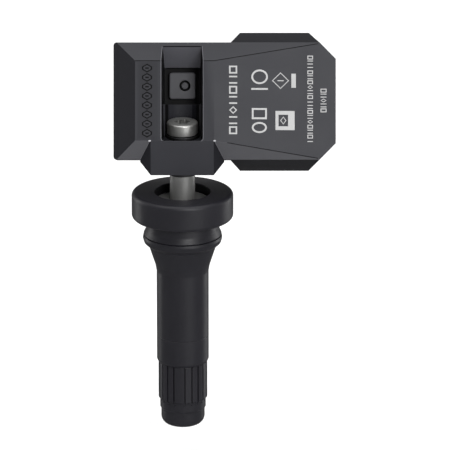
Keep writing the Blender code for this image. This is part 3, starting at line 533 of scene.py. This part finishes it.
def slot_cutter():
    top_w = FACE_W + 2.0
    seat = SEAT_Z - CROSS_Z
    end_w = (seat - SLOT_END_V * math.cos(TILT)) / math.sin(TILT)
    step_v = PIT_V[0] - 0.15
    profile = [
        (SLOT_END_V, top_w),
        (SLOT_END_V, end_w),
        (seat * math.cos(TILT), seat * math.sin(TILT)),
        (step_v, step_v * math.tan(TILT)),
        (step_v, SLOT_FLOOR_W),
        (SLOT_TOP_V - (FACE_W - SLOT_RUN_OUT_W - SLOT_FLOOR_W), SLOT_FLOOR_W),
        (SLOT_TOP_V + SLOT_RUN_OUT_W + 2.0, top_w),
    ]
    bm = bmesh.new()
    left = [bm.verts.new(Vector((-SLOT_BLOCK_U, v, w)) * MM) for v, w in profile]
    right = [bm.verts.new(Vector((SLOT_BLOCK_U, v, w)) * MM) for v, w in profile]
    bm.faces.new(left)
    bm.faces.new(right)
    for i in range(len(profile)):
        j = (i + 1) % len(profile)
        bm.faces.new((left[i], left[j], right[j], right[i]))
    bmesh.ops.recalc_face_normals(bm, faces=bm.faces)
    for side in (1, -1):
        draft = Vector((side * (FACE_W - SLOT_FLOOR_W), 0, -(SLOT_U - SLOT_FLOOR_U)))
        cut_plane(bm, (side * SLOT_U, 0, FACE_W), draft)
    corners = [
        e for e in bm.edges
        if all(abs(v.co.y - SLOT_END_V * MM) < 1e-6 for v in e.verts)
        and abs(e.verts[0].co.z - e.verts[1].co.z) > 1e-3
    ]
    bevel_edges(bm, corners, SLOT_CORNER_ROUND, 6)
    return bm


def cylinder_about_stem(radius, z_from, z_to, segments=72):
    return along_stem(lathe([(0, z_from), (radius, z_from), (radius, z_to), (0, z_to)], segments))


def cylinder_about_face(radius, uv, w_from, w_to, segments=48):
    bm = lathe([(0, w_from), (radius, w_from), (radius, w_to), (0, w_to)], segments)
    bmesh.ops.translate(bm, vec=Vector((uv[0], uv[1], 0)) * MM, verts=bm.verts)
    return bm


def housing_inside():
    rebate = prism(outline(REBATE_WALL), BACK_W - 1.0, REBATE_W)
    floor = prism(outline(WALL), REBATE_W - 0.5, CEILING_W)
    cell = prism(outline(CELL_ROOM_WALL, CELL_ROOM_LEFT_U), CEILING_W - 0.5, FACE_W)
    slope = Vector((math.sin(LABEL_SLOPE), 0, math.cos(LABEL_SLOPE)))
    cut_plane(cell, (CREASE_U, 0, FACE_W - LABEL_WALL), slope)
    for side in (1, -1):
        cut_plane(cell, (0, side * FACE_V, FACE_W - CHAMFER_WALL), (0, side, 1))
        ear_slope = Vector((0, side * (EAR_TOP_W - EAR_LOW_W), EAR_V - EAR_FACET_V))
        cut_plane(cell, (0, side * (EAR_V - EAR_WALL), EAR_LOW_W), ear_slope)
    coil_u, coil_v, coil_top = COIL_ROOM
    coil = box(coil_u, coil_v, (CEILING_W - 0.5, coil_top))
    return [rebate, floor, cell, coil]


def ring_prism(outer, inner, low, high):
    """A flat frame between two plan polygons with the same number of points."""
    bm = bmesh.new()
    loops = []
    for points, w in ((outer, low), (outer, high), (inner, high), (inner, low)):
        loops.append([bm.verts.new(Vector((x, y, w)) * MM) for x, y in points])
    for first, second in zip(loops, loops[1:] + loops[:1]):
        for i in range(len(outer)):
            j = (i + 1) % len(outer)
            bm.faces.new((first[i], first[j], second[j], second[i]))
    return bm


def engraving():
    """A row of plain six-sided outlines with a short bar in each, cut into the left strip of the face."""
    cutters = []
    depth = (FACE_W - ENGRAVED_DEPTH, FACE_W + 0.4)
    for index in range(ENGRAVED_COUNT):
        v = (index - (ENGRAVED_COUNT - 1) / 2) * ENGRAVED_PITCH
        loops = []
        for reach, width in ((1.0, 0.88), (0.72, 0.60)):
            shape = [(reach, -0.35), (reach, 0.35), (0, 1), (-reach, 0.35), (-reach, -0.35), (0, -1)]
            loops.append([(ENGRAVED_U + du, v + dv * width) for du, dv in shape])
        cutters.append(ring_prism(loops[0], loops[1], *depth))
        cutters.append(box((ENGRAVED_U - 0.34, ENGRAVED_U + 0.34), (v - 0.13, v + 0.13), depth))
    return joined(cutters)


def paint_channel_light_and_shade(bm):
    """Paints light and shade into the channel: painted light on the run-out, painted shade on the walls, pit
    and engraving, and a painted highlight on the rim.
    """
    bm.normal_update()
    run_out = Vector((0, -1, 1)).normalized()
    for face in bm.faces:
        u, v, w = face.calc_center_median() / MM
        skin = min(FACE_W, FACE_W + FACE_V - v)
        # Painted shade in the engraving.
        if -8.2 < u < -5.7 and abs(v) < 7.6 and FACE_W - 0.3 < w < FACE_W - 0.02:
            face.material_index = 2
        # Painted highlight on the slot's rim.
        side_rim = abs(abs(u) - SLOT_U) < 0.3 and -8.3 < v < 11.2 and 0.15 < abs(face.normal.x) < 0.98
        end_rim = abs(u) < 4.3 and abs(v - SLOT_END_V) < 0.25 and 0.15 < abs(face.normal.y) < 0.98
        if (side_rim or end_rim) and skin - 0.22 < w < skin + 0.02 and face.calc_area() < 4.0 * MM * MM:
            face.material_index = 3
        if abs(u) > 4.3 or not SLOT_END_V - 0.2 < v < 11.4 or w > skin - 0.15 or w < -5.6:
            continue
        # Painted light on the run-out; painted shade on the walls and pit.
        if face.normal.dot(run_out) > 0.95:
            face.material_index = 1
        elif abs(face.normal.x) > 0.8 or (v > PIT_V[0] - 0.2 and w < SLOT_FLOOR_W + 0.05):
            face.material_index = 2


def paint_facet_light_and_shade(bm):
    """Paints shade on the left chamfer, ears and boss flanks, and light on the lower chamfer, as darker and
    lighter copies of the plastic.
    """
    for face in bm.faces:
        u, v, w = face.calc_center_median() / MM
        n = face.normal
        if n.z < 0.2 or w < EAR_LOW_W or face.material_index:
            continue
        # Painted shade on facets turned away from the light.
        if n.x < -0.6 or (abs(v) > 11.0 and u > EAR_RAMP_U[0] and abs(n.y) > 0.3 and v > -14.0):
            face.material_index = 4
        elif v < BOSS_TOP_V - 0.3 and abs(u) < BOSS_SIDE_U + 0.5 and abs(n.x) > 0.1:
            face.material_index = 4
        # Painted light on the lower chamfer.
        elif n.y < -0.6 and v < -FACE_V and v > -SIDE_V:
            face.material_index = 5


def crease_shade_lines():
    """Painted shade: fine dark lines where the raised face and the label plane meet the chamfers."""
    rise = math.tan(LABEL_SLOPE)
    drop = (CREASE_END_U - CREASE_U) * rise
    near_drop = (LOWER_CREASE_U - CREASE_U) * rise
    far_v, far_w = FACE_V + drop, FACE_W - drop
    runs = [
        [(FACE_LEFT_U, FACE_V, FACE_W), (-SLOT_U - 0.15, FACE_V, FACE_W)],
        [(SLOT_U + 0.15, FACE_V, FACE_W), (CREASE_U, FACE_V, FACE_W), (CREASE_END_U, far_v, far_w)],
        [(-3.8, 10.82, 0.36), (3.8, 10.82, 0.36)],
        [(LOWER_CREASE_U, -FACE_V - near_drop, FACE_W - near_drop), (CREASE_END_U, -far_v, far_w)],
    ]
    tubes = thin_lines(runs, CREASE_LINE_R, Vector((0, 0.012, 0.03)))
    piece("face_crease_shade_lines", joined(tubes), LINE, "housing", (), HOUSING)


def thin_lines(runs, radius, sunk, sides=8):
    """Round lines through the given points, sunk a little into the surface below them."""
    tubes = []
    for run in runs:
        points = [Vector(p) - Vector((0, math.copysign(sunk.y, p[1]), sunk.z)) for p in run]
        along = (points[-1] - points[0]).normalized()
        across = along.cross(Vector((0, 0, 1))).normalized()
        over = across.cross(along)
        rings = []
        for point in points:
            ring = []
            for k in range(sides):
                a = 2.0 * math.pi * k / sides
                ring.append(tuple(point + across * radius * math.cos(a) + over * radius * math.sin(a)))
            rings.append(ring)
        bm = bmesh.new()
        layers = grid_solid(bm, rings)
        bm.faces.new(layers[0])
        bm.faces.new(layers[-1])
        tubes.append(bm)
    return tubes


def boss_edge_highlights():
    """Painted highlights: pale lines where the boss's flanks leave the lower chamfer, and a glint spot at
    each upper corner.
    """
    runs = []
    spots = []
    for side in (1, -1):
        runs.append([(side * 6.36, -7.95, 3.15), (side * 8.33, -11.6, -0.5)])
        spot = bmesh.new()
        bmesh.ops.create_uvsphere(spot, u_segments=24, v_segments=12, radius=0.3 * MM)
        place = Matrix.Translation(Vector((side * 6.42, -7.95, 3.13)) * MM)
        squash = Matrix.Diagonal((1.0, 0.62, 0.4, 1.0))
        bmesh.ops.transform(spot, matrix=place @ squash, verts=spot.verts)
        spots.append(spot)
    lines = thin_lines(runs, FLANK_LINE_R, Vector((0, 0, 0)))
    piece("boss_edge_highlight_lines", joined(lines), EDGE, "housing", (), HOUSING)
    piece("boss_corner_glints", joined(spots), GLINT, "housing", (), HOUSING)


def build_housing():
    channel = [slot_cutter(), cylinder_about_stem(CHANNEL_R, SPOTFACE_Z, CHANNEL_TOP_Z)]
    body = combined(housing_outside(), channel, "DIFFERENCE")
    rim = []
    for edge in body.edges:
        if not edge.is_manifold or edge.calc_face_angle_signed(0.0) < math.radians(25):
            continue
        points = [v.co / MM for v in edge.verts]
        in_slot = all(abs(p.x) < 4.3 and -8.3 < p.y < 11.2 for p in points)
        if in_slot and all(p.z > min(FACE_W, FACE_W + FACE_V - p.y) - 0.3 for p in points):
            rim.append(edge)
    bevel_edges(body, rim, SLOT_RIM_ROUND, 3)
    pit = box((-PIT_U, PIT_U), PIT_V, (PIT_FLOOR_W, SLOT_FLOOR_W + 0.4))
    port = cylinder_about_face(PORT_HOLE_R, PORT_UV, CEILING_W - 1.0, PIT_FLOOR_W + 0.4, 32)
    bore = cylinder_about_stem(BOSS_BORE_R, 6.0, SEAT_Z + 0.5)
    cutters = [pit, bore] + housing_inside() + [port, engraving()]
    body = combined(body, cutters, "DIFFERENCE")
    paint_channel_light_and_shade(body)
    paint_facet_light_and_shade(body)
    piece("housing_moulding", body, PLASTIC, "housing", ["housing_shell"], HOUSING,
          more=(RAMP, SHADE, EDGE, DIM, LIT))


def label_print():
    """Plain outlines, bars and blocks printed on the label plane, as thin layers of ink."""
    marks = []
    slope = math.tan(LABEL_SLOPE)

    def lay(bm):
        for vert in bm.verts:
            vert.co.z += FACE_W * MM - (vert.co.x - CREASE_U * MM) * slope
        marks.append(bm)

    def bar(u, v, width, height):
        lay(box((u - width / 2, u + width / 2), (v - height / 2, v + height / 2), INK_W))

    def outlined(u, v, half_u, half_v, stroke, shape):
        outer = [(u + x * half_u, v + y * half_v) for x, y in shape]
        inner = [(u + x * (half_u - stroke), v + y * (half_v - stroke)) for x, y in shape]
        lay(ring_prism(outer, inner, *INK_W))

    square = [(1, 1), (-1, 1), (-1, -1), (1, -1)]
    diamond = [(1, 0), (0, 1), (-1, 0), (0, -1)]
    disc = [(math.cos(math.pi * k / 16), math.sin(math.pi * k / 16)) for k in range(32)]

    def row(u, width, v_from, step, stroke, kinds):
        """Small marks down a column: outlines, pairs of bars and single bars."""
        for index, kind in enumerate(kinds):
            v = v_from - step * (index + 0.5)
            half = step * 0.39
            if kind == "o":
                outlined(u, v, width / 2, half, stroke, square)
            elif kind == "=":
                bar(u, v + half - stroke / 2, width, stroke)
                bar(u, v - half + stroke / 2, width, stroke)
            elif kind == "-":
                bar(u, v, width, stroke)
            elif kind == "<":
                outlined(u, v, width / 2, half, stroke, diamond)

    row(10.1, 1.6, 7.15, 2.0, 0.3, "o=o=<=o")
    outlined(15.35, 4.75, 1.65, 1.45, 0.36, disc)
    bar(15.35, 2.35, 3.3, 0.36)
    outlined(15.3, -2.55, 1.5, 1.1, 0.36, square)
    outlined(15.3, -5.3, 1.5, 1.1, 0.36, disc)
    outlined(19.5, 4.0, 1.7, 1.65, 0.22, diamond)
    bar(19.5, 4.0, 1.2, 0.2)
    bar(22.1, 4.0, 0.9, 2.8)
    plate = [(20.4 + 1.9 * x, -3.9 + 1.9 * y) for x, y in square]
    window = [(20.05 + 0.95 * x, -3.9 + 1.15 * y) for x, y in square]
    lay(ring_prism(plate, window, *INK_W))
    outlined(20.05, -3.9, 0.62, 0.8, 0.2, diamond)
    row(25.4, 1.1, 9.1, 0.98, 0.17, "o=-o=o<=o-=o=<o=o-")
    row(28.05, 1.2, 2.55, 0.98, 0.17, "o=<=o")
    piece("label_print", joined(marks), INK, "housing", (), HOUSING)


def build_small_housing_pieces():
    pad = prism(rounded_rect(PAD_U, PAD_V, PAD_CORNER_ROUND, 8), *PAD_W)
    bevel_edges(pad, [e for e in pad.edges if all(p.co.z > -4.15 * MM for p in e.verts)], 0.22, 4)
    pad = combined(pad, [cylinder_about_face(PAD_HOLE_R, PORT_UV, -7.0, 0.0, 64)], "DIFFERENCE")
    hole = Vector(PORT_UV) * MM

    def on_hole_rim(vert):
        return vert.co.z > -4.1 * MM and abs((vert.co.xy - hole).length - PAD_HOLE_R * MM) < 0.02 * MM

    bevel_edges(pad, [e for e in pad.edges if all(on_hole_rim(v) for v in e.verts)], 0.06, 2)
    piece("pressure_port_pad", pad, PAD, "housing", ["port_pad"], HOUSING)
    plug = [(0, -5.2, 0), (FILTER_R, -5.2, 0), (FILTER_R, -4.07, 0.1), (0, -4.07, 0)]
    plug = lathe(rounded_profile(plug), 48)
    bmesh.ops.translate(plug, vec=Vector((*PORT_UV, 0)) * MM, verts=plug.verts)
    piece("pressure_port_filter", plug, PAD, "housing", ["port_filter"], HOUSING)
    (bore, sleeve), (low, high) = BUSH_R, BUSH_Z
    bush = [(bore, low, 0.12), (sleeve, low, 0.15), (sleeve, high, 0), (bore, high, 0)]
    bush = lathe(rounded_profile(bush, closed=True), 72, closed=True)
    piece("bush_sleeve", bush, DARK_STEEL, "housing", ["boss_bush"])
    cover = prism(outline(REBATE_WALL + COVER_GAP), BACK_W, COVER_W)
    back = [e for e in cover.edges if all(v.co.z < (BACK_W + 0.1) * MM for v in e.verts)]
    bevel_edges(cover, back, 0.25, 3)
    outer, inner, depth = COVER_GROOVE
    frame_cut = prism(outline(REBATE_WALL + outer), BACK_W - 1.0, BACK_W + depth)
    island = prism(outline(REBATE_WALL + inner), BACK_W - 2.0, BACK_W + 1.0)
    groove = combined(frame_cut, [island], "DIFFERENCE")
    cover = combined(cover, [groove], "DIFFERENCE")
    piece("back_cover_plate", cover, COVER, "housing", ["back_cover"], HOUSING)


# ---------------------------------------------------------------- screw, stem and cap

def build_screw():
    low, top = HEAD_Z
    head = lathe(rounded_profile([(0, low, 0), (HEAD_R, low, 0.12), (HEAD_R, top, 0.34), (0, top, 0)]), 96)
    star = []
    count = 72
    for i in range(count):
        angle = 2.0 * math.pi * i / count
        r = STAR_R * (0.86 + 0.14 * math.cos(6 * angle))
        star.append((r * math.cos(angle + STAR_TURN), r * math.sin(angle + STAR_TURN)))
    head = combined(head, [prism(star, top - STAR_DEPTH, top + 1.0)], "DIFFERENCE", merge_flat=False)
    # Painted shade: the star recess takes the darker copy of the steel.
    for face in head.faces:
        centre = face.calc_center_median() / MM
        if centre.xy.length < STAR_R + 0.04 and centre.z < top - 0.05:
            face.material_index = 1
    piece("screw_head", head, STEEL, "screw", more=(RECESS_SHADE_STEEL,))
    root, crest = SHANK_R
    rings = [circle(0, SHANK_TIP_Z, 48), circle(SHANK_TIP_R, SHANK_TIP_Z, 48)]
    rings += [circle(root, SHANK_THREAD_Z[0], 48)]
    rings += thread_rings(root, crest, SHANK_PITCH, *SHANK_THREAD_Z, 48, 10)[1:]
    rings += [circle(root, low + 0.25, 48), circle(0, low + 0.25, 48)]
    shank = bmesh.new()
    grid_solid(shank, rings)
    piece("screw_shank", shank, STEEL, "screw", ["stem_screw"])
    washer = [(2.1, 17.0, 0.05), (3.3, 17.0, 0.08), (3.3, 17.5, 0.12), (2.1, 17.5, 0.05)]
    washer = lathe(rounded_profile(washer, closed=True), 72, closed=True)
    piece("screw_washer_ring", washer, DARK_STEEL, "screw_carrier", ["screw_washer"])


def thread_rings(root_r, crest_r, pitch, z_from, z_to, segments, rows_per_pitch):
    rows = int(round(abs(z_to - z_from) / pitch * rows_per_pitch))
    rings = []
    for row in range(rows + 1):
        z = z_from + (z_to - z_from) * row / rows
        fade = min(1.0, row / rows_per_pitch, (rows - row) / rows_per_pitch)
        ring = []
        for i in range(segments):
            angle = 2.0 * math.pi * i / segments
            ridge = 1.0 - abs(2.0 * ((z / pitch - i / segments) % 1.0) - 1.0)
            radius = root_r + (crest_r - root_r) * ridge * fade
            ring.append((radius * math.cos(angle), radius * math.sin(angle), z))
        rings.append(ring)
    return rings


def build_stem():
    profile = [
        (RECESS_R, 5.4, 0.12), (10.16, 5.4, 0.85), (10.16, 0.0, 0.75), (7.15, 0.0, 0.25), (7.3, -2.3, 1.2),
        (7.82, -3.36, 0.06), (7.5, -3.47, 0.0), (7.5, -3.53, 0.0), (7.84, -3.62, 0.08), (7.95, -4.15, 0.5),
        (7.72, -5.05, 0.6), (6.75, -5.85, 0.12), (6.62, -6.3, 0.2), (5.45, -9.9, 2.0),
        (5.22, -11.2, 1.0), (5.22, -24.80, 0.0), (5.14, -24.88, 0.0), (5.14, -24.94, 0.0),
        (5.22, -25.02, 0.0),
        (5.22, -29.9, 0.12), (4.98, -30.4, 0.06), (4.0, -30.4, 0.05),
        (4.0, 1.2, 0.2), (4.3, 1.8, 0.1), (RECESS_R, 2.0, 0.2),
    ]
    rubber = lathe(rounded_profile(profile, closed=True), 128, closed=True)
    # Painted shade on the recess wall around the stud.
    for face in rubber.faces:
        centre = face.calc_center_median() / MM
        if centre.xy.length < RECESS_R + 0.05 and 2.0 < centre.z < 5.25:
            face.material_index = 1
    piece("rubber_body", rubber, RUBBER, "stem", ["rubber_stem"], smooth_deg=40.0,
          more=(SHADE,))
    outside = rounded_profile([
        (0, 15.9, 0), (2.5, 15.9, 0.25), (2.5, 3.75, 0.3), (5.3, 3.75, 0.2), (5.3, 2.4, 0.1), (3.7, 2.3, 0.1),
        (3.7, -30.2, 0.0), (VALVE_R[0], -30.6, 0.0),
    ])
    rings = [circle(r, z, 72) for r, z in outside]
    rings += thread_rings(*VALVE_R, VALVE_PITCH, *VALVE_THREAD_Z, 72, 10)
    rings += [circle(VALVE_R[0] - 0.15, MOUTH_Z, 72), circle(0, MOUTH_Z, 72)]
    body = bmesh.new()
    grid_solid(body, rings)
    hole = lathe([(0, 9.4), (1.85, 10.0), (1.85, 17.0), (0, 17.0)], 40)
    air = lathe([
        (0, MOUTH_Z - 1.0), (2.75, MOUTH_Z - 1.0), (2.75, -31.2), (2.15, -30.2), (2.15, -25.0), (1.1, -24.0),
        (1.1, 6.8), (0, 7.4),
    ], 40)
    cross = lathe([(0, 0.0), (CROSS_HOLE_R, 0.0), (CROSS_HOLE_R, 4.0), (0, 4.0)], 32)
    place = Matrix.Translation((0, 0, CROSS_HOLE_Z * MM)) @ Matrix.Rotation(-math.pi / 2, 4, "X")
    bmesh.ops.transform(cross, matrix=place, verts=cross.verts)
    body = combined(body, [hole, air, cross], "DIFFERENCE", merge_flat=False)
    piece("metal_stud", body, PIN, "stem", ["stem_insert"])


def build_cap():
    profile = [
        (0, -41.6, 0), (2.2, -41.6, 0.2), (2.2, -39.2, 0.1), (4.0, -39.2, 0.1), (4.0, -30.8, 0),
        (4.25, -30.5, 0), (4.92, -30.5, 0.1), (4.92, -38.1, 0.1), (4.6, -38.35, 0.1), (4.6, -40.2, 0.12),
        (4.38, -40.45, 0.1), (4.38, -43.9, 3.0), (0, -43.9, 0),
    ]
    cap = lathe(rounded_profile(profile), 120)
    grooves = []
    for side in (1, -1):
        for index in range(RIBS_PER_HALF):
            width = (-RIB_GROOVE_HALF, RIB_GROOVE_HALF)
            groove = prism(rounded_rect(RIB_GROOVE_U, width, 0.1, 3), *RIB_GROOVE_Z)
            angle = math.radians(WIDE_RIB_DEG + side * (WIDE_RIB_HALF_DEG + RIB_DEG * index))
            bmesh.ops.transform(groove, matrix=Matrix.Rotation(angle, 4, "Z"), verts=groove.verts)
            grooves.append(groove)
    cap = combined(cap, [joined(grooves)], "DIFFERENCE", merge_flat=False)
    piece("ribbed_cap", cap, CAP, "cap", ["valve_cap"])


# ---------------------------------------------------------------- frame pieces shown as they are

SHOWN = {
    "cover_seal": SEAL, "circuit_board": BOARD, "battery_cell": CELL, "battery_tab_positive": NICKEL,
    "battery_tab_negative": NICKEL, "pressure_sensor_chip": CHIP, "port_seal_ring": SEAL, "radio_chip": CHIP,
    "quartz_crystal": NICKEL, "capacitor_1": CERAMIC, "capacitor_2": CERAMIC, "wake_coil_core": FERRITE,
    "wake_coil_winding": COPPER, "antenna_strip": NICKEL, "valve_core_barrel": BRASS,
    "valve_core_gasket": SEAL, "valve_core_pin": BRASS, "valve_core_seal": SEAL, "valve_core_spring": SPRING,
    "cap_seal": SEAL,
}


def finish_shown_nodes():
    for name, material in SHOWN.items():
        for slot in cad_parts[name].material_slots:
            slot.material = material


# ---------------------------------------------------------------- floor, light and camera

def add_floor(z):
    bm = bmesh.new()
    bmesh.ops.create_grid(bm, x_segments=2, y_segments=2, size=3.0)
    mesh = bpy.data.meshes.new("floor")
    bm.to_mesh(mesh)
    bm.free()
    floor = bpy.data.objects.new("floor", mesh)
    floor.location = (0.0, 0.0, z)
    bpy.context.scene.collection.objects.link(floor)
    material = bpy.data.materials.new("pale_floor")
    material.use_nodes = True
    shader = material.node_tree.nodes["Principled BSDF"]
    shader.inputs["Base Color"].default_value = (0.94, 0.94, 0.94, 1.0)
    shader.inputs["Roughness"].default_value = 0.9
    shader.inputs["Specular IOR Level"].default_value = 0.1
    shader.inputs["Emission Color"].default_value = (1.0, 1.0, 1.0, 1.0)
    shader.inputs["Emission Strength"].default_value = 0.12
    mesh.materials.append(material)
    floor.visible_glossy = False


def add_light(name, place, target, size, power, colour=(1.0, 1.0, 1.0)):
    data = bpy.data.lights.new(name, "AREA")
    data.shape = "RECTANGLE"
    data.size, data.size_y = size
    data.energy = power
    data.color = colour
    light = bpy.data.objects.new(name, data)
    light.location = place
    light.rotation_mode = "QUATERNION"
    light.rotation_quaternion = (Vector(place) - Vector(target)).to_track_quat("Z", "Y")
    bpy.context.scene.collection.objects.link(light)


def add_camera():
    data = bpy.data.cameras.new("camera")
    camera = bpy.data.objects.new("camera", data)
    bpy.context.scene.collection.objects.link(camera)
    elevation = math.radians(19.0)
    distance = 1.1
    data.sensor_width = 36.0
    data.lens = 36.0 * distance / 0.09
    data.clip_start, data.clip_end = 0.05, 20.0
    back = Vector((0.0, -math.cos(elevation), math.sin(elevation)))
    target = Vector((8.49, 0.0, -1.756)) * MM
    camera.location = target + back * distance
    camera.rotation_mode = "QUATERNION"
    camera.rotation_quaternion = back.to_track_quat("Z", "Y")
    bpy.context.scene.camera = camera


def light_the_scene():
    world = bpy.data.worlds.new("studio")
    bpy.context.scene.world = world
    world.use_nodes = True
    background = world.node_tree.nodes["Background"]
    background.inputs["Color"].default_value = (1.0, 1.0, 1.0, 1.0)
    background.inputs["Strength"].default_value = 0.2
    centre = (0.008, 0.0, 0.0)
    add_light("overhead", (0.0, 0.15, 1.2), (0.0, 0.15, 0.0), (2.0, 2.0), 22.0)
    add_light("front_box", (0.31, -0.89, 0.42), centre, (0.3, 0.3), 4.7)
    add_light("low_box", (0.45, -0.75, -0.02), centre, (0.5, 0.5), 1.5)
    add_light("rim_right", (0.75, 0.45, 0.05), centre, (0.3, 0.8), 2.8)
    add_light("rim_left", (-0.75, 0.40, 0.05), centre, (0.25, 0.8), 2.5)
    bpy.context.scene.view_settings.view_transform = "Standard"


build_housing()
crease_shade_lines()
boss_edge_highlights()
label_print()
build_small_housing_pieces()
build_screw()
build_stem()
build_cap()
finish_shown_nodes()
add_floor(FLOOR_Z * MM)
light_the_scene()
add_camera()
